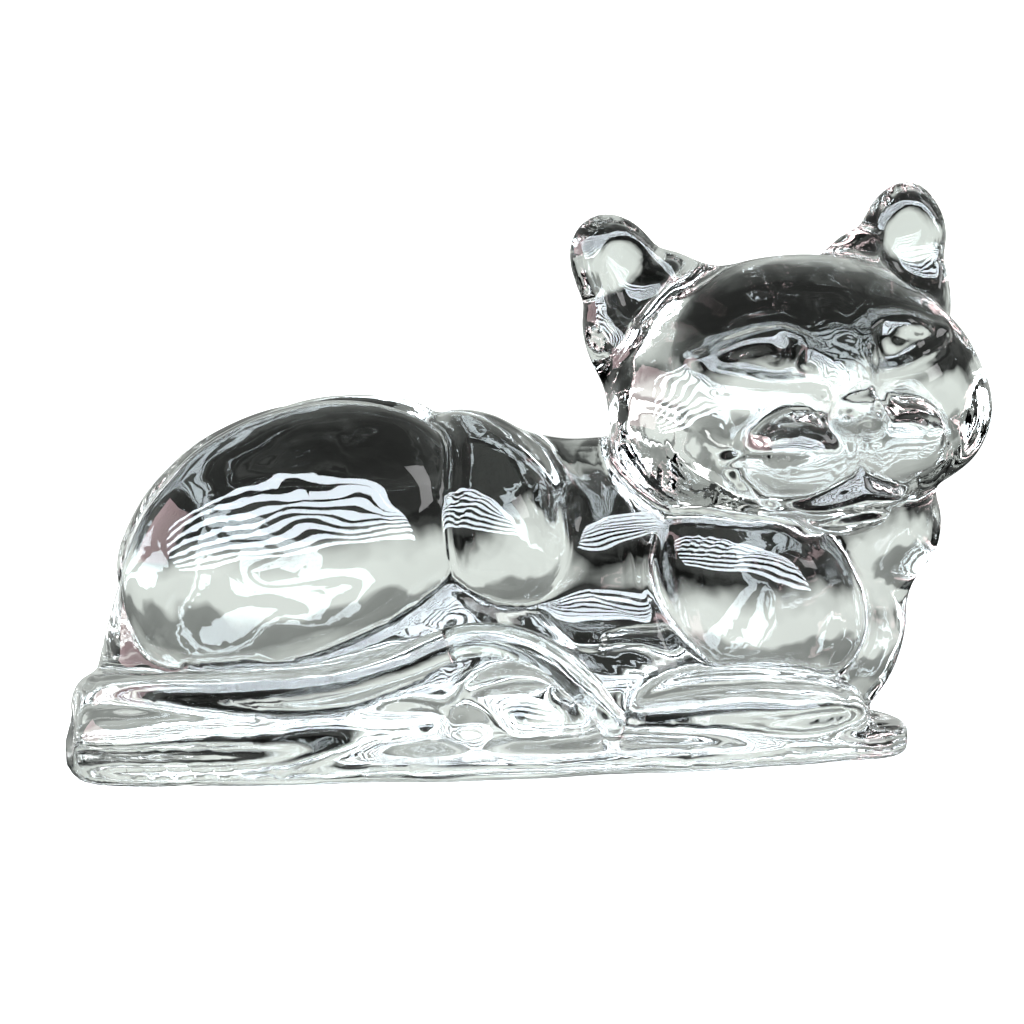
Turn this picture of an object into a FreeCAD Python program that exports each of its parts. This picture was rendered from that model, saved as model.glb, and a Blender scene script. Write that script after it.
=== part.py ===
"""Reclining cat figurine in solid pressed crystal, about 129 mm long.

The cat lies along +X on a flat oval plinth, with its head turned towards -Y, its tail brought
round the -Y side and its forelegs stretched out towards +X. The real figurine is one casting:
here it is divided into its sculpted lobes, which meet face to face and never overlap.
Right and left are the cat's own, so its right side is the -Y side.
Sizes are in millimetres, +Z is up and the underside is at Z = 0.
"""

import FreeCAD
import Part
import os

from FreeCAD import Matrix, Placement, Rotation, Vector

# Plinth: an oval slab with two long bowed sides and two rounded ends.
PLINTH_LENGTH = 117.0
PLINTH_WIDTH = 56.0
PLINTH_HEIGHT = 4.2
PLINTH_END_WIDTH = 40.0     # across the slab, where each end arc meets the long sides
PLINTH_END_BULGE = 5.0      # how far an end arc stands out past those corners
PLINTH_CORNER_RADIUS = 9.0
PLINTH_EDGE_ROUND = 1.2

# Head: its centre, and how it is turned away from looking straight along -Y.
HEAD_CENTRE = Vector(42.5, -8.0, 50.0)
HEAD_YAW = 7.0              # towards +X
HEAD_LIFT = 2.0             # chin up
HEAD_TILT = 6.0             # its left ear up

# Tail: a tapering round cord laid along the right side.
TAIL_ROOT_RADIUS = 3.2
TAIL_TIP_RADIUS = 2.2
TAIL_BULB_RADIUS = 2.3      # the round end, a little fuller than the cord it closes
TAIL_SECTIONS = 12

RIGHT, LEFT = -1, 1


def ellipsoid(centre, radii, rotation=None):
    """A solid ellipsoid, its skin in four quarters from pole to pole.

    Its radii lie along X, Y and Z before the rotation.
    """
    quarters = [
        Part.makeSphere(1.0, Vector(), Vector(0, 0, 1), -90, 90, 90)
        for _ in range(4)
    ]
    for i, quarter in enumerate(quarters):
        quarter.rotate(Vector(), Vector(0, 0, 1), 90 * i)
    stretch = Matrix()
    stretch.scale(*radii)
    solid = quarters[0].fuse(quarters[1:]).transformGeometry(stretch).Solids[0]
    solid.Placement = Placement(Vector(*centre), rotation or Rotation())
    return solid


def rise(degrees):
    """A turn about Y that lifts the +X end of a lobe."""
    return Rotation(Vector(0, 1, 0), -degrees)


def lean(degrees):
    """A turn about Y that tips the top of a lobe towards +X."""
    return Rotation(Vector(0, 1, 0), degrees)


# ---------------------------------------------------------------- body

def plinth():
    half_length = PLINTH_LENGTH / 2 - PLINTH_END_BULGE
    half_end = PLINTH_END_WIDTH / 2
    corners = [
        Vector(-half_length, -half_end, 0),
        Vector(half_length, -half_end, 0),
        Vector(half_length, half_end, 0),
        Vector(-half_length, half_end, 0),
    ]
    middles = [
        Vector(0, -PLINTH_WIDTH / 2, 0),
        Vector(PLINTH_LENGTH / 2, 0, 0),
        Vector(0, PLINTH_WIDTH / 2, 0),
        Vector(-PLINTH_LENGTH / 2, 0, 0),
    ]
    arcs = [
        Part.Arc(corners[i], middles[i], corners[(i + 1) % 4]).toShape()
        for i in range(4)
    ]
    slab = Part.Face(Part.Wire(arcs)).extrude(Vector(0, 0, PLINTH_HEIGHT))
    upright = [e for e in slab.Edges if abs(e.tangentAt(e.FirstParameter).z) > 0.99]
    slab = slab.makeFillet(PLINTH_CORNER_RADIUS, upright)
    top = [e for e in slab.Edges if e.BoundBox.ZMin > PLINTH_HEIGHT - 0.01]
    return slab.makeFillet(PLINTH_EDGE_ROUND, top)


def rump():
    return ellipsoid((-18, 1, 8), (36, 24, 42.6))


def haunch(side):
    return ellipsoid((-26, side * 9.5, 29), (25.5, 15.5, 19.8), rise(22))


def flank():
    return ellipsoid((-2.6, -1, 32), (14.5, 21.5, 16.6), rise(25))


def spine():
    return ellipsoid((2, 2, 22.5), (31, 17, 22.5))


def belly():
    return ellipsoid((8, 0, 9), (30, 21, 14))


def chest():
    return ellipsoid((42.5, 0, 20.5), (17.5, 14, 20))


def shoulder(side):
    return ellipsoid((35.3, side * 9.5, 23), (17, 12, 12.5), rise(-32))


def neck():
    return ellipsoid((37, -2, 36), (15, 13, 13))


def bib():
    return ellipsoid((51.5, -3, 32), (12.5, 12, 12))


def nape():
    return ellipsoid((20, -2, 35.5), (8, 10, 8))


# ---------------------------------------------------------------- legs and tail

def foreleg(side):
    """A forearm lying on the plinth, with a rounded paw at its +X end."""
    y = side * 18.5
    reach = 4.5 + side * 4.5
    forearm = ellipsoid((31 + reach / 2, y, 7.2), (17 + reach / 2, 6.5, 5.4))
    paw = ellipsoid((43 + reach, y + side * -3.0, 6.4), (7, 6.2, 4.6))
    return forearm.fuse(paw)


def hind_foot(side):
    """The long foot that the haunch rests on, ending in a round paw."""
    y = side * 19.0
    foot = ellipsoid((-1, y, 5), (13, 6.5, 10))
    paw = ellipsoid((-5.5, y + side * 3.0, 3.6), (6.8, 5, 6.4))
    return foot.fuse(paw)


def hock(side):
    return ellipsoid((-27, side * 16.5, 6.0), (30, 9.8, 8.6), rise(2))


def tail():
    """A tapering tube along one smooth curve, closed by a round tip."""
    route = [
        Vector(-49.5, 6, 9.5),
        Vector(-53.8, -4, 10.2),
        Vector(-50.5, -13.5, 11.0),
        Vector(-41, -21, 12.0),
        Vector(-30, -24.2, 12.5),
        Vector(-18, -25.2, 14.6),
        Vector(-8, -25.4, 18.0),
        Vector(0, -25.6, 17.6),
        Vector(7, -25.8, 13.2),
        Vector(12, -25.8, 7.2),
    ]
    line = Part.BSplineCurve()
    line.interpolate(route)
    rings = []
    for i in range(TAIL_SECTIONS):
        share = i / (TAIL_SECTIONS - 1)
        at = line.FirstParameter + share * (line.LastParameter - line.FirstParameter)
        radius = TAIL_ROOT_RADIUS + share * (TAIL_TIP_RADIUS - TAIL_ROOT_RADIUS)
        ring = Part.makeCircle(radius, line.value(at), line.tangent(at)[0])
        rings.append(Part.Wire(ring))
    tube = Part.makeLoft(rings, True, False)
    tip = Part.makeSphere(TAIL_BULB_RADIUS, route[-1])
    return tube.fuse(tip)


# ---------------------------------------------------------------- head
# The head's pieces are made looking along -Y about the head's centre, then turned as one.

def in_head_place(solid):
    turn = (
        Rotation(Vector(0, 0, 1), HEAD_YAW)
        .multiply(Rotation(Vector(1, 0, 0), -HEAD_LIFT))
        .multiply(Rotation(Vector(0, 1, 0), -HEAD_TILT))
    )
    solid.Placement = Placement(HEAD_CENTRE, turn).multiply(solid.Placement)
    return solid


def skull():
    return ellipsoid((0, 2, 2), (24, 18, 17))


def cheek(side):
    return ellipsoid((side * 14, -1, -4), (13.5, 12.5, 12))


def jaw():
    return ellipsoid((0, -3, -9), (18, 13, 9.5))


def muzzle():
    """Two whisker pads, what fills the space between them, and the bridge of the nose."""
    pads = [ellipsoid((side * 7.0, -15.0, -8.0), (7.2, 6.5, 5.6)) for side in (RIGHT, LEFT)]
    between = ellipsoid((0, -14.6, -8.2), (5.5, 6.2, 5.0))
    bridge = ellipsoid((0, -14.5, -0.5), (5.2, 6.2, 7.5))
    return pads[0].fuse([pads[1], between, bridge])


def nose():
    return ellipsoid((0, -20.6, -3.7), (4.2, 2.4, 2.5))


def chin():
    return ellipsoid((0, -13.0, -15.2), (7, 6, 4.8))


def eye(side):
    return ellipsoid((side * 10.0, -12.9, 5.0), (5.4, 3.0, 2.8), lean(side * -8))


def ear(side):
    """An ear with a broad root and a narrower tip that leans outwards, hollowed at the front."""
    root = ellipsoid((side * 17.2, 6.2, 11.5), (10.6, 6.0, 10.8), lean(side * 12))
    tip = ellipsoid((side * 21.4, 6.5, 19.2), (6.4, 4.6, 9.0), lean(side * 20))
    hollow = ellipsoid((side * 20.4, 0.9, 17.0), (5.4, 4.4, 8.6), lean(side * 20))
    return root.fuse(tip).cut(hollow)


# ---------------------------------------------------------------- assembly

def raw_lobes():
    """Every lobe at its full size, in the order in which they keep what they share."""
    lobes = {
        "tail": tail(),
    }
    for name, side in (("right", RIGHT), ("left", LEFT)):
        lobes[f"hind_foot_{name}"] = hind_foot(side)
        lobes[f"hock_{name}"] = hock(side)
        lobes[f"foreleg_{name}"] = foreleg(side)
        lobes[f"haunch_{name}"] = haunch(side)
        lobes[f"shoulder_{name}"] = shoulder(side)
        lobes[f"eye_{name}"] = in_head_place(eye(side))
        lobes[f"ear_{name}"] = in_head_place(ear(side))
    lobes["nose"] = in_head_place(nose())
    lobes["muzzle"] = in_head_place(muzzle())
    lobes["chin"] = in_head_place(chin())
    for name, side in (("right", RIGHT), ("left", LEFT)):
        lobes[f"cheek_{name}"] = in_head_place(cheek(side))
    lobes["jaw"] = in_head_place(jaw())
    lobes["skull"] = in_head_place(skull())
    lobes["neck"] = neck()
    lobes["bib"] = bib()
    lobes["nape"] = nape()
    lobes["chest"] = chest()
    lobes["flank"] = flank()
    lobes["rump"] = rump()
    lobes["spine"] = spine()
    lobes["belly"] = belly()
    return lobes


def on_plinth(solid):
    """What a lobe keeps above the flat top of the plinth."""
    room = Part.makeBox(400, 400, 200, Vector(-200, -200, PLINTH_HEIGHT))
    return solid.common(room)


def tight_box(solid):
    return solid.optimalBoundingBox(False)


def divided(lobes):
    """The lobes with each shared space left to the first that claims it."""
    sections = {}
    claims = []
    for name, lobe in lobes.items():
        box = tight_box(lobe)
        section = lobe
        for claim, claimed_box in claims:
            if claimed_box.intersect(box):
                section = section.cut(claim)
        sections[name] = largest(section)
        claims.append((lobe, box))
    return sections


def largest(section):
    return max(section.Solids, key=lambda solid: solid.Volume)


def centred(sections):
    """Moves the whole figurine so that its box is centred over the origin."""
    box = FreeCAD.BoundBox()
    for section in sections.values():
        box.add(tight_box(section))
    shift = Vector(-box.Center.x, -box.Center.y, 0)
    return {name: section.translated(shift) for name, section in sections.items()}


def main():
    os.makedirs("parts", exist_ok=True)
    lobes = {name: on_plinth(lobe) for name, lobe in raw_lobes().items()}
    sections = {"base_plinth": plinth()}
    sections.update(divided(lobes))
    sections = centred(sections)
    for name, section in sections.items():
        section.exportStep(f"parts/{name}.step")
        print(f"{name:18s} valid {section.isValid()} volume {section.Volume:9.1f}")


main()
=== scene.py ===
import math

import bmesh
import bpy
import numpy as np
import openvdb
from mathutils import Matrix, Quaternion, Vector

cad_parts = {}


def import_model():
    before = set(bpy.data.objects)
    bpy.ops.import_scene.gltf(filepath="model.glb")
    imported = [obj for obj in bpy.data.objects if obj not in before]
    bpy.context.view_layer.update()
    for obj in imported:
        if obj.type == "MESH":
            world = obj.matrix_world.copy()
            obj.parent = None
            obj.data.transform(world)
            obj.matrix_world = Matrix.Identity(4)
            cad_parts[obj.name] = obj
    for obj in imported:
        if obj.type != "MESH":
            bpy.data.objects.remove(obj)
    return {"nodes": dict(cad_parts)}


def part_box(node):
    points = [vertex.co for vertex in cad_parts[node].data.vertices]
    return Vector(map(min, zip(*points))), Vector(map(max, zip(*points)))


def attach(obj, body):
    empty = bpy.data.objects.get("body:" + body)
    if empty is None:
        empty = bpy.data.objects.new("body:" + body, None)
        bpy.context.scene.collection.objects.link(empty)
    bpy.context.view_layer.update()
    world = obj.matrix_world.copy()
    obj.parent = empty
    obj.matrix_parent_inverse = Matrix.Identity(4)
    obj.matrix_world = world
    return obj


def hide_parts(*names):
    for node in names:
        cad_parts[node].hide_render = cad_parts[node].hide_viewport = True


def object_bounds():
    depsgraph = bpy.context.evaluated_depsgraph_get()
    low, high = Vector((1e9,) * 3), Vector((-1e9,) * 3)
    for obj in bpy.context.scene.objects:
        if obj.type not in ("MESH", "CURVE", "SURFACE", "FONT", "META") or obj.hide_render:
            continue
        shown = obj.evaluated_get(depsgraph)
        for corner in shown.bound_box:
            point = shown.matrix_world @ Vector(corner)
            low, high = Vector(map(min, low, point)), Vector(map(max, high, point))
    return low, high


# The CAD sections of the casting are read as distance fields, melted into one skin, given the
# relief of a pressed crystal cat and turned back into one closed mesh.
# Fields and carving are in millimetres, in the frame of the CAD. Blender's objects are in metres.

MM = 0.001
VOXEL = 0.74                # grid step of the distance fields
BAND = 8                    # how many voxels each side of a skin a field is true for
REACH = BAND * VOXEL
PAD = 10                    # empty voxels kept round the whole figurine

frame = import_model()
CAD_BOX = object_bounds()


# ---------------------------------------------------------------- distance fields

class Grid:
    """A dense box of voxels that holds the figurine's distance field."""

    def __init__(self, low, high):
        self.start = np.floor(np.array(low) / VOXEL).astype(int) - PAD
        stop = np.ceil(np.array(high) / VOXEL).astype(int) + PAD
        self.shape = tuple(stop - self.start)
        self.axes = [
            ((np.arange(n) + s) * VOXEL).astype(np.float32)
            for n, s in zip(self.shape, self.start)
        ]

    def empty(self):
        return np.full(self.shape, REACH, np.float32)

    def window(self, low, high):
        """The slices of the grid that cover a box."""
        slices = []
        for axis, a, b in zip(range(3), low, high):
            first = int(np.floor(a / VOXEL)) - self.start[axis]
            last = int(np.ceil(b / VOXEL)) - self.start[axis] + 1
            slices.append(slice(max(first, 0), min(last, self.shape[axis])))
        return tuple(slices)

    def points(self, window):
        """The x, y and z of a window's voxels, ready to broadcast."""
        x, y, z = (axis[part] for axis, part in zip(self.axes, window))
        return x[:, None, None], y[None, :, None], z[None, None, :]


def level_set(points, triangles, quads=None):
    return openvdb.FloatGrid.createLevelSetFromPolygons(
        points,
        triangles=triangles,
        quads=quads,
        transform=openvdb.createLinearTransform(voxelSize=VOXEL),
        halfWidth=float(BAND),
    )


def sampled(grid, volume, window):
    values = np.empty([part.stop - part.start for part in window], np.float32)
    corner = [int(part.start + s) for part, s in zip(window, grid.start)]
    volume.copyToArray(values, ijk=tuple(corner))
    return values


def node_box(name):
    low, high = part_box(name)
    return np.array(low) / MM, np.array(high) / MM


def node_middle(name):
    low, high = node_box(name)
    return (low + high) / 2


def node_field(grid, name):
    """A CAD section's distance field, and the window of the grid that it fills."""
    mesh = frame["nodes"][name].data
    mesh.calc_loop_triangles()
    points = np.empty(len(mesh.vertices) * 3, np.float32)
    mesh.vertices.foreach_get("co", points)
    triangles = np.empty(len(mesh.loop_triangles) * 3, np.uint32)
    mesh.loop_triangles.foreach_get("vertices", triangles)
    volume = level_set(points.reshape(-1, 3) / np.float32(MM), triangles.reshape(-1, 3))
    low, high = node_box(name)
    window = grid.window(low - REACH, high + REACH)
    return window, sampled(grid, volume, window)


def smooth_min(a, b, blend):
    """The nearer of two fields, with the valley between them filled over a blend width."""
    nearer = np.minimum(a, b)
    share = np.maximum(blend - np.abs(a - b), 0) / blend
    filled = nearer - share * share * blend / 4
    return np.where(nearer < REACH * 0.98, filled, nearer)


def melted(grid, whole, joins, creases):
    """The union of CAD sections, each melted into those before it over its own width.

    Where a section has a crease depth, the line along which it meets the others is noted.
    """
    for name, blend, depth in joins:
        window, field = node_field(grid, name)
        if depth:
            note_crease(creases[window], whole[window], field, depth)
        whole[window] = smooth_min(whole[window], field, blend)
    return whole


def note_crease(creases, before, field, depth):
    away = np.maximum(before, 0) + np.maximum(field, 0)
    np.maximum(creases, depth * np.exp(-(away / CREASE_WIDTH) ** 2), out=creases)


# ---------------------------------------------------------------- skins

def polygons(grid, field):
    """The zero skin of a field, as points, triangles and quads."""
    volume = openvdb.FloatGrid(REACH)
    volume.transform = openvdb.createLinearTransform(voxelSize=VOXEL)
    volume.copyFromArray(field, ijk=tuple(int(s) for s in grid.start))
    return volume.convertToPolygons(isovalue=0.0, adaptivity=0.0)


def outer_skin(points, triangles, quads):
    """Only the largest connected sheet, so nothing floats inside the glass."""
    pairs = [triangles[:, [0, 1]], triangles[:, [1, 2]]] if len(triangles) else []
    pairs += [quads[:, [0, 1]], quads[:, [1, 2]], quads[:, [2, 3]]]
    pairs = np.concatenate(pairs).astype(np.int64)
    label = np.arange(len(points))
    while True:
        lowest = np.minimum(label[pairs[:, 0]], label[pairs[:, 1]])
        new = label.copy()
        np.minimum.at(new, pairs[:, 0], lowest)
        np.minimum.at(new, pairs[:, 1], lowest)
        new = new[new]
        if np.array_equal(new, label):
            break
        label = new
    biggest = np.bincount(label).argmax()
    kept = label == biggest
    index = np.cumsum(kept) - 1
    triangles = triangles[kept[triangles[:, 0]]] if len(triangles) else triangles
    quads = quads[kept[quads[:, 0]]]
    return points[kept], index[triangles].astype(np.uint32), index[quads].astype(np.uint32)


def redistanced(grid, field):
    """The true distance field of a field's outer skin."""
    volume = level_set(*outer_skin(*polygons(grid, field)))
    everything = tuple(slice(0, n) for n in grid.shape)
    return sampled(grid, volume, everything)


def blurred(field, passes):
    """A small binomial blur, which rounds edges as fire polishing does."""
    for _ in range(passes):
        for axis in range(3):
            before = np.roll(field, 1, axis)
            after = np.roll(field, -1, axis)
            field = (before + 2 * field + after) / 4
    return field


# section, width over which it melts into those before it, depth of the line pressed round it
TRUNK_JOINS = [
    ("rump", 1.0, 0),
    ("haunch_left", 0.7, 0.8),
    ("haunch_right", 0.7, 0.8),
    ("flank", 0.7, 0.7),
    ("spine", 2.5, 0),
    ("belly", 6.0, 0),
    ("nape", 6.0, 0),
    ("chest", 4.0, 0),
    ("neck", 5.0, 0),
    ("bib", 3.0, 0),
]
LIMB_JOINS = [
    ("shoulder_left", 0.9, 0.7),
    ("shoulder_right", 0.9, 0.7),
    ("hock_left", 2.0, 0),
    ("hock_right", 2.0, 0),
    ("foreleg_left", 1.0, 0.5),
    ("foreleg_right", 1.0, 0.5),
    ("hind_foot_left", 0.9, 0.5),
    ("hind_foot_right", 0.9, 0.5),
    ("tail", 0.7, 0.6),
    ("base_plinth", 1.8, 0.35),
]
HEAD_JOINS = [
    ("skull", 4.0, 0),
    ("cheek_left", 7.0, 0),
    ("cheek_right", 7.0, 0),
    ("jaw", 6.0, 0),
    ("muzzle", 2.6, 0),
    ("chin", 3.0, 0),
    ("ear_left", 4.0, 0),
    ("ear_right", 4.0, 0),
    ("nose", 1.4, 0),
    ("eye_left", 1.2, 0),
    ("eye_right", 1.2, 0),
]
HEAD_TO_BODY = 1.2
HEAD_CREASE = 0.35
CREASE_WIDTH = 1.0
SEAM_CLOSE = 0.05           # how far the skin is grown, to close the CAD's face-to-face seams

# Two plain masses of glass that the CAD sections don't have.
SIDE_HALF = np.array([11.0, 14.0, 15.0])      # the flat side of the waist, with rounded edges
SIDE_ROUND = 6.0
SIDE_MIDDLE = (-0.5, 21.5)                     # across from the plinth's middle, and up
MASS_BLEND = 4.0
REAR_HALF = np.array([11.0, 17.0, 5.6])
REAR_ROUND = 5.2
REAR_INSET = 1.3
REAR_LIFT = 0.6


def rounded_box(grid, middle, half, radius):
    window = grid.window(middle - half - REACH, middle + half + REACH)
    past = [np.abs(axis - m) - (h - radius) for axis, m, h in zip(grid.points(window), middle, half)]
    outside = np.sqrt(sum(np.maximum(p, 0) ** 2 for p in past))
    inside = np.minimum(np.maximum(np.maximum(past[0], past[1]), past[2]), 0)
    return window, np.clip(outside + inside - radius, -REACH, REACH).astype(np.float32)


def fill_waist(grid, body):
    """The casting's plain upright side between the flank and the shoulder."""
    middle = node_middle("spine")
    middle[1] = node_middle("base_plinth")[1] + SIDE_MIDDLE[0]
    middle[2] = SIDE_MIDDLE[1]
    window, field = rounded_box(grid, middle, SIDE_HALF, SIDE_ROUND)
    body[window] = smooth_min(body[window], field, MASS_BLEND)



def fill_rear(grid, body):
    """The skirt of glass that carries the rump and the root of the tail down to the foot."""
    low, high = node_box("base_plinth")
    middle = (low + high) / 2
    middle[0] = low[0] + REAR_HALF[0] + REAR_INSET
    middle[2] = REAR_HALF[2] + REAR_LIFT
    window, field = rounded_box(grid, middle, REAR_HALF, REAR_ROUND)
    body[window] = smooth_min(body[window], field, MASS_BLEND)


def casting_field(grid):
    creases = np.zeros(grid.shape, np.float32)
    body = melted(grid, grid.empty(), TRUNK_JOINS, creases)
    fill_waist(grid, body)
    body = melted(grid, body, LIMB_JOINS, creases)
    fill_rear(grid, body)
    head = melted(grid, grid.empty(), HEAD_JOINS, creases)
    note_crease(creases, body, head, HEAD_CREASE)
    whole = smooth_min(body, head, HEAD_TO_BODY) - SEAM_CLOSE
    return redistanced(grid, whole) + creases


# ---------------------------------------------------------------- relief

def to_line(u, v, points):
    """The distance in a plane from (u, v) to a line through points."""
    nearest = None
    for (u0, v0), (u1, v1) in zip(points, points[1:]):
        run = np.array([u1 - u0, v1 - v0])
        along = ((u - u0) * run[0] + (v - v0) * run[1]) / (run @ run)
        along = np.clip(along, 0, 1)
        away = np.hypot(u - u0 - along * run[0], v - v0 - along * run[1])
        nearest = away if nearest is None else np.minimum(nearest, away)
    return nearest


def stroke(u, v, points, width, height):
    return height * np.exp(-(to_line(u, v, points) / width) ** 2)


def dot(u, v, centre, width, height):
    return height * np.exp(-((u - centre[0]) ** 2 + (v - centre[1]) ** 2) / width ** 2)


# Lines of one half of the face, in millimetres out from its middle and up from its eyes:
# points, width, and height (a groove where it is negative).
HALF_FACE = [
    ([(17.8, 0.6), (14, 1.9), (10.4, 2.8), (7, 3.0), (4.7, 1.9), (4.0, 0.3), (4.9, -1.4)], 1.15, 1.05),
    ([(16, 4.2), (10.4, 5.6), (6.0, 5.6), (3.0, 3.4)], 1.6, -0.3),
    ([(16.4, -0.9), (11, -2.6), (7.9, -3.4), (5.6, -3.6)], 0.9, 0.4),
    ([(16.6, -3.0), (11, -4.6), (7.2, -5.2)], 1.4, -0.3),
    ([(4.4, -6.4), (5.0, -8.6), (3.8, -10.4)], 0.8, -0.4),
    ([(0, -10.8), (0, -15.8)], 0.8, -0.7),
    ([(0, -16.0), (3, -17.8), (7, -19.0), (11, -18.4), (14.4, -15.8), (15.2, -14.2)], 0.9, -0.5),
    ([(15.6, -11.4), (14.6, -9.0), (11.5, -7.4), (8, -6.8)], 1.2, -0.35),
    ([(0, -19.2), (5, -20.6), (10, -20.2)], 1.2, 0.5),
    ([(0, -22.0), (6, -22.6), (11, -21.4)], 0.9, -0.35),
]
EYE_MIDDLE = (10.6, -0.4)
EYE_SLANT = math.radians(14)
EYE_HALF_LENGTH = 5.8
EYE_HALF_HEIGHT = 2.1
EYE_DEPTH = 1.2
PUPIL = (8.4, -0.3)
NOSTRIL = (2.7, -8.4)


def face_relief(across, up):
    out = np.abs(across)
    relief = np.zeros(np.broadcast(across, up).shape)
    for points, width, height in HALF_FACE:
        relief = relief + stroke(out, up, points, width, height)
    relief += dot(out, up, NOSTRIL, 1.0, -1.3)
    u = (out - EYE_MIDDLE[0]) * math.cos(EYE_SLANT) + (up - EYE_MIDDLE[1]) * math.sin(EYE_SLANT)
    v = (up - EYE_MIDDLE[1]) * math.cos(EYE_SLANT) - (out - EYE_MIDDLE[0]) * math.sin(EYE_SLANT)
    rim = np.hypot(u / EYE_HALF_LENGTH, v / EYE_HALF_HEIGHT)
    relief -= EYE_DEPTH * np.exp(-rim ** 4)
    relief += dot(out, up, PUPIL, 1.4, 0.7)
    return relief


def face_axes():
    """The middle of the eyes, and the face's own directions: across, up and out."""
    right, left = node_middle("eye_right"), node_middle("eye_left")
    across = (left - right) / np.linalg.norm(left - right)
    out = np.cross(across, (0, 0, 1))
    out /= np.linalg.norm(out)
    return (left + right) / 2, across, np.cross(out, across), out


# Where the relief fades out, each as where it starts and over how much it grows to full.
FACING_FADE = (0.05, 0.3)   # of the skin's turn towards the front
DEPTH_FADE = (-11, 4)       # in front of the eyes
JAW_FADE = (-3, 3)          # above the underside of the jaw


def faded(value, fade):
    start, run = fade
    return np.clip((value - start) / run, 0, 1)


def on_face(points, normals):
    """Each point's place across and up the face, and how much of the face's relief it takes."""
    middle, across, up, out = face_axes()
    away = points - middle
    facing = faded(normals @ out, FACING_FADE)
    forward = faded(away @ out, DEPTH_FADE)
    jaw_low = node_box("jaw")[0][2]
    above = faded(points[:, 2] - jaw_low, JAW_FADE)
    return away @ across, away @ up, facing * forward * above


PAW_LENGTH = 8
TOE_GROOVES = (-3.6, 0, 3.6)
TOE_DEPTH = 0.6
TOE_WIDTH = 0.7


def carve_toes(grid, field):
    """Three grooves over the tip of each forepaw."""
    for side in ("right", "left"):
        low, high = node_box("foreleg_" + side)
        back = (PAW_LENGTH + 1, high[1] - low[1] + 1, high[2] - low[2] + 1)
        window = grid.window(high - back, high + 2)
        x, y, z = grid.points(window)
        tip = faded(x - high[0], (-PAW_LENGTH, PAW_LENGTH / 2))
        middle = (low[1] + high[1]) / 2
        for offset in TOE_GROOVES:
            groove = TOE_DEPTH * np.exp(-((y - middle - offset) / TOE_WIDTH) ** 2) * tip
            field[window] += groove.astype(np.float32)


# Slow waves of a fire-polished skin: wavelength along x, y and z, phase, height.
WAVES = [
    ((31, 23, 19), 0.4, 0.10),
    ((17, 26, 14), 2.1, 0.06),
    ((11, 13, 17), 4.0, 0.03),
    ((7.5, 9, 6.5), 1.2, 0.012),
]


def add_waves(grid, field):
    window = tuple(slice(0, n) for n in grid.shape)
    x, y, z = grid.points(window)
    for (lx, ly, lz), phase, height in WAVES:
        turn = 2 * math.pi
        wave = np.sin(turn * x / lx + phase + 1.7 * np.sin(turn * z / lz))
        wave = wave * np.cos(turn * y / ly + phase) + np.sin(turn * z / lz + 2 * phase)
        field += (height * wave).astype(np.float32)


# ---------------------------------------------------------------- mesh

def mesh_object(name, points, triangles, quads):
    mesh = bpy.data.meshes.new(name)
    faces = [tuple(int(i) for i in face) for face in quads]
    faces += [tuple(int(i) for i in face) for face in triangles]
    mesh.from_pydata(points.tolist(), [], faces)
    mesh.update()
    piece = bpy.data.objects.new(name, mesh)
    bpy.context.scene.collection.objects.link(piece)
    return piece


def vertex_arrays(mesh):
    points = np.empty(len(mesh.vertices) * 3)
    normals = np.empty(len(mesh.vertices) * 3)
    mesh.vertices.foreach_get("co", points)
    mesh.vertices.foreach_get("normal", normals)
    return points.reshape(-1, 3), normals.reshape(-1, 3)


FACE_REACH = 26             # how far the finer mesh goes from the middle of the face
FACE_DROP = 6               # the middle of the face, below the eyes
SMOOTHINGS = 3


def refined(mesh):
    """Divides the face's part of the mesh, where the relief is finer than the grid."""
    points, normals = vertex_arrays(mesh)
    across, up, share = on_face(points, normals)
    near = (np.abs(across) < FACE_REACH) & (np.abs(up + FACE_DROP) < FACE_REACH)
    chosen = near & (share > 0)
    work = bmesh.new()
    work.from_mesh(mesh)
    work.verts.ensure_lookup_table()
    edges = [e for e in work.edges if chosen[e.verts[0].index] and chosen[e.verts[1].index]]
    made = bmesh.ops.subdivide_edges(work, edges=edges, cuts=1, use_grid_fill=True)
    fresh = {item for item in made["geom_inner"] if isinstance(item, bmesh.types.BMVert)}
    fresh |= {vertex for edge in edges if edge.is_valid for vertex in edge.verts}
    work.verts.index_update()
    fresh = sorted(fresh, key=lambda vertex: vertex.index)
    for _ in range(SMOOTHINGS):
        bmesh.ops.smooth_vert(
            work, verts=fresh, factor=0.5, use_axis_x=True, use_axis_y=True, use_axis_z=True
        )
    work.to_mesh(mesh)
    work.free()
    mesh.update()


def carve_face(mesh):
    refined(mesh)
    points, normals = vertex_arrays(mesh)
    across, up, share = on_face(points, normals)
    relief = face_relief(across, up) * share
    points = points + normals * relief[:, None]
    mesh.vertices.foreach_set("co", points.ravel())
    mesh.update()


def fitted(points, low, high):
    """The casting drawn in to the CAD's box, standing on a truly flat underside."""
    points[:, 2] = np.maximum(points[:, 2], low[2])
    least, most = points.min(axis=0), points.max(axis=0)
    start = np.maximum(least, low)
    shrink = np.minimum(1, (high - start) / (most - least))
    return start + (points - least) * shrink


def casting():
    low = np.array(CAD_BOX[0]) / MM
    high = np.array(CAD_BOX[1]) / MM
    grid = Grid(low, high)
    field = casting_field(grid)
    carve_toes(grid, field)
    add_waves(grid, field)
    field = blurred(field, 1)
    points, triangles, quads = outer_skin(*polygons(grid, field))
    piece = mesh_object("crystal_casting", points, triangles, quads)
    carve_face(piece.data)
    points, _ = vertex_arrays(piece.data)
    points = fitted(points, low, high) * MM
    piece.data.vertices.foreach_set("co", points.ravel())
    piece.data.update()
    piece.data.shade_smooth()
    return piece


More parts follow.
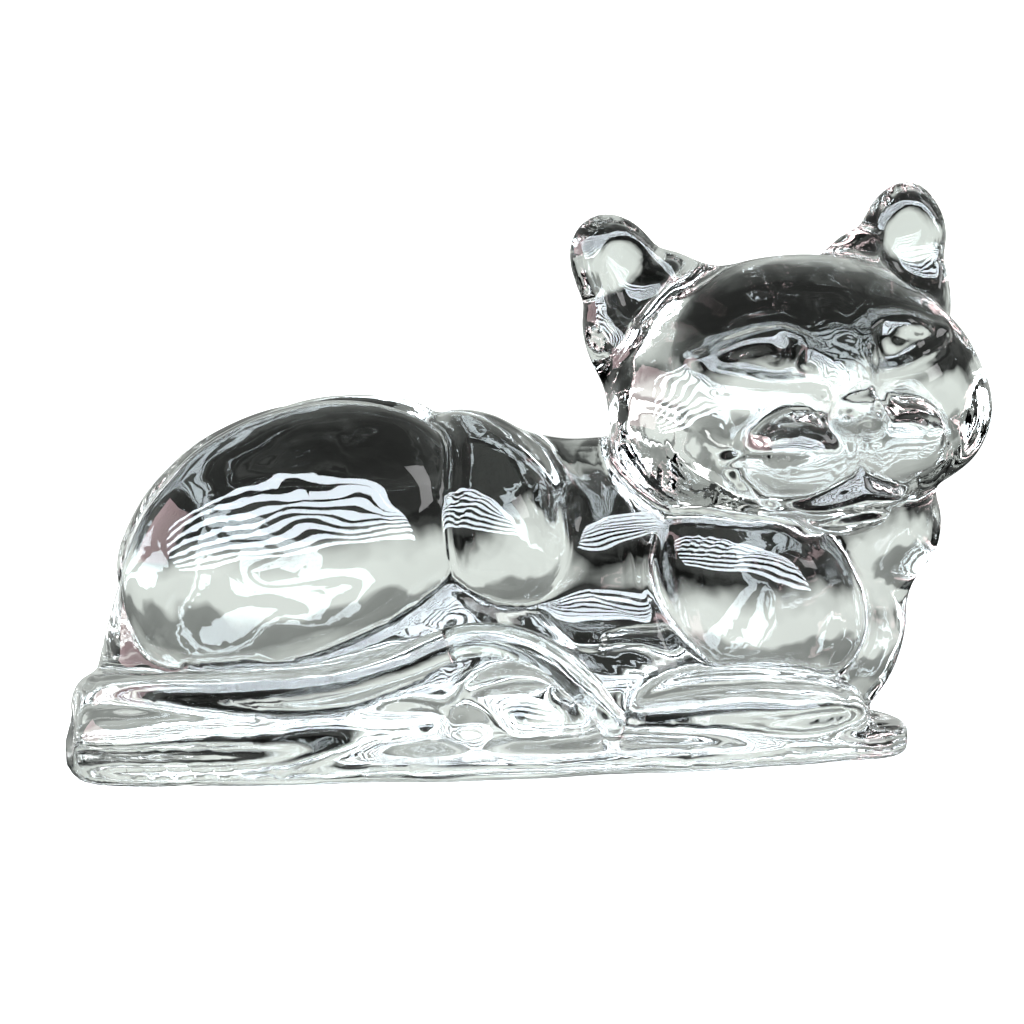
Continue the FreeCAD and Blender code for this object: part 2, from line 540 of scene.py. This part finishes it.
# ---------------------------------------------------------------- material

def crystal():
    """Fire-polished lead glass: faint cords and ripples, a trace of handling, a trace of green."""
    material = bpy.data.materials.new("crystal")
    material.use_nodes = True
    nodes, links = material.node_tree.nodes, material.node_tree.links
    shader = nodes["Principled BSDF"]
    shader.inputs["IOR"].default_value = 1.545
    shader.inputs["Transmission Weight"].default_value = 1.0
    place = nodes.new("ShaderNodeTexCoord").outputs["Object"]

    def noise(scale, detail, distortion=0.0):
        texture = nodes.new("ShaderNodeTexNoise")
        texture.inputs["Scale"].default_value = scale
        texture.inputs["Detail"].default_value = detail
        texture.inputs["Distortion"].default_value = distortion
        links.new(place, texture.inputs["Vector"])
        return texture.outputs["Fac"]

    def ramp(value, stops):
        made = nodes.new("ShaderNodeValToRGB")
        for stop, (at, colour) in zip(made.color_ramp.elements, stops):
            stop.position = at
            stop.color = colour
        links.new(value, made.inputs["Fac"])
        return made.outputs["Color"]

    tint = ramp(noise(22, 2), [(0.3, (0.945, 0.975, 0.955, 1)), (0.7, (0.975, 0.985, 0.98, 1))])
    links.new(tint, shader.inputs["Base Color"])
    handled = ramp(noise(140, 4, 0.6), [(0.52, (0, 0, 0, 1)), (0.8, (0.035, 0.035, 0.035, 1))])
    links.new(handled, shader.inputs["Roughness"])
    cords = nodes.new("ShaderNodeBump")
    cords.inputs["Strength"].default_value = 0.25
    cords.inputs["Distance"].default_value = 0.00022
    links.new(noise(75, 2, 1.2), cords.inputs["Height"])
    links.new(cords.outputs["Normal"], shader.inputs["Normal"])
    return material


# ---------------------------------------------------------------- stage

CAMERA_AZIMUTH = -9.5
CAMERA_ELEVATION = 2.0
CAMERA_DISTANCE = 0.396
CAMERA_LENS = 100.0
CAMERA_ROLL = -0.9
CAMERA_AIM = (0.0036, 0.0, 0.0339)      # from the middle of the plinth's underside


def camera():
    low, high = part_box("base_plinth")
    middle = (low + high) / 2
    aim = Vector((middle.x, middle.y, 0)) + Vector(CAMERA_AIM)
    azimuth = math.radians(CAMERA_AZIMUTH)
    elevation = math.radians(CAMERA_ELEVATION)
    back = Vector((
        math.sin(azimuth) * math.cos(elevation),
        -math.cos(azimuth) * math.cos(elevation),
        math.sin(elevation),
    ))
    data = bpy.data.cameras.new("camera")
    data.lens = CAMERA_LENS
    data.clip_start = 0.01
    seen = bpy.data.objects.new("camera", data)
    seen.location = aim + back * CAMERA_DISTANCE
    turn = (-back).to_track_quat("-Z", "Y") @ Quaternion((0, 0, 1), math.radians(CAMERA_ROLL))
    seen.rotation_mode = "QUATERNION"
    seen.rotation_quaternion = turn
    bpy.context.scene.collection.objects.link(seen)
    bpy.context.scene.camera = seen


STAGE_RADIUS = 6.0
WALL_SIDES = 48
WALL_RINGS = 12
WALL_SINK = 0.01            # how far the wall's foot is below the floor
FLOOR_GLOW = 0.85
WALL_GLOW = 1.0


def stage_piece(name, points, faces, colour, glow):
    """A pale glowing surface that rays which have met glass pass: they gather the world."""
    mesh = bpy.data.meshes.new(name)
    mesh.from_pydata(points, [], faces)
    piece = bpy.data.objects.new(name, mesh)
    bpy.context.scene.collection.objects.link(piece)
    material = bpy.data.materials.new("pale_" + name)
    material.use_nodes = True
    pale = material.node_tree.nodes["Principled BSDF"]
    pale.inputs["Base Color"].default_value = colour
    pale.inputs["Roughness"].default_value = 0.7
    pale.inputs["Emission Color"].default_value = (1, 1, 1, 1)
    pale.inputs["Emission Strength"].default_value = glow
    mesh.materials.append(material)
    piece.visible_transmission = False
    piece.visible_glossy = False
    return piece


def floor():
    half = STAGE_RADIUS
    corners = [(-half, -half, 0), (half, -half, 0), (half, half, 0), (-half, half, 0)]
    stage_piece("floor", corners, [(0, 1, 2, 3)], (0.93, 0.94, 0.93, 1), FLOOR_GLOW)


def backdrop():
    """A round white wall with a closed top."""
    points, faces = [], []
    for ring in range(WALL_RINGS + 1):
        rise = math.pi / 2 * ring / WALL_RINGS
        for i in range(WALL_SIDES):
            turn = 2 * math.pi * i / WALL_SIDES
            points.append((
                STAGE_RADIUS * math.cos(rise) * math.cos(turn),
                STAGE_RADIUS * math.cos(rise) * math.sin(turn),
                STAGE_RADIUS * math.sin(rise) - WALL_SINK,
            ))
            if ring:
                here, there = ring * WALL_SIDES + i, ring * WALL_SIDES + (i + 1) % WALL_SIDES
                faces.append((here - WALL_SIDES, there - WALL_SIDES, there, here))
    wall = stage_piece("backdrop", points, faces, (1, 1, 1, 1), WALL_GLOW)
    wall.visible_diffuse = False
    wall.visible_shadow = False


# The room that the glass gathers, as brightness against half of one plus the sine of the height
# above the horizon: pale straight below, dark all round the table, a bright band at and over
# the horizon, and a greyer wall with one paler band above it. Noise breaks the bands up.
ROOM = [
    (0.0, 0.72), (0.07, 0.60), (0.14, 0.08), (0.21, 0.007), (0.45, 0.006), (0.472, 0.28),
    (0.495, 0.62), (0.53, 0.84), (0.585, 0.82), (0.605, 0.30), (0.66, 0.24), (0.70, 0.55),
    (0.76, 0.45), (0.86, 0.30), (1.0, 0.22),
]
ROOM_UNEVENNESS = 0.08


def world():
    sky = bpy.data.worlds.new("studio")
    bpy.context.scene.world = sky
    sky.use_nodes = True
    tree = sky.node_tree
    nodes, links = tree.nodes, tree.links
    coordinates = nodes.new("ShaderNodeTexCoord").outputs["Generated"]
    split = nodes.new("ShaderNodeSeparateXYZ")
    height = nodes.new("ShaderNodeMapRange")
    height.inputs["From Min"].default_value = -1
    height.inputs["From Max"].default_value = 1
    uneven = nodes.new("ShaderNodeTexNoise")
    uneven.inputs["Scale"].default_value = 4.0
    uneven.inputs["Detail"].default_value = 2.0
    shift = nodes.new("ShaderNodeMath")
    shift.operation = "MULTIPLY_ADD"
    shift.inputs[1].default_value = 2 * ROOM_UNEVENNESS
    middled = nodes.new("ShaderNodeMath")
    middled.operation = "SUBTRACT"
    middled.inputs[1].default_value = ROOM_UNEVENNESS
    ramp = nodes.new("ShaderNodeValToRGB")
    ramp.color_ramp.elements.remove(ramp.color_ramp.elements[1])
    for i, (place, value) in enumerate(ROOM):
        stop = ramp.color_ramp.elements[0] if i == 0 else ramp.color_ramp.elements.new(place)
        stop.position = place
        stop.color = (value * 0.95, value, value * 0.955, 1)
    links.new(coordinates, split.inputs[0])
    links.new(coordinates, uneven.inputs["Vector"])
    links.new(split.outputs["Z"], height.inputs["Value"])
    links.new(uneven.outputs["Fac"], shift.inputs[0])
    links.new(height.outputs["Result"], shift.inputs[2])
    links.new(shift.outputs[0], middled.inputs[0])
    links.new(middled.outputs[0], ramp.inputs["Fac"])
    links.new(ramp.outputs["Color"], nodes["Background"].inputs["Color"])


def softbox(name, place, aim, size, glow, colour):
    """A flat soft light, with its glow as a share of the white wall's."""
    data = bpy.data.lights.new(name, "AREA")
    data.shape = "RECTANGLE"
    data.size, data.size_y = size
    data.energy = glow * math.pi * size[0] * size[1]
    data.color = colour
    light = bpy.data.objects.new(name, data)
    light.location = place
    light.rotation_mode = "QUATERNION"
    light.rotation_quaternion = (Vector(aim) - Vector(place)).to_track_quat("-Z", "Y")
    bpy.context.scene.collection.objects.link(light)


BANK_BARS = 8


def lights():
    """A bank of strip lights in front, a soft light at each side, the left one pale pink."""
    middle = (0, 0, 0.03)
    for i in range(BANK_BARS):
        share = i / (BANK_BARS - 1)
        place = (-0.10 - 0.15 * share, -0.82 + 0.26 * share, 0.12 + 0.58 * share)
        softbox("bank_%d" % i, place, middle, (2.4, 0.048), 20, (0.84, 0.93, 1.0))
    softbox("side", (0.8, -0.45, 0.55), middle, (0.3, 0.4), 4, (1, 1, 1))
    softbox("blush", (-1.0, 0.1, 0.45), middle, (0.9, 0.6), 4, (1.0, 0.72, 0.75))


bpy.context.scene.view_settings.view_transform = "Standard"
camera()
piece = casting()
piece.data.materials.append(crystal())
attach(piece, "root")
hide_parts(*sorted(frame["nodes"]))
floor()
backdrop()
world()
lights()
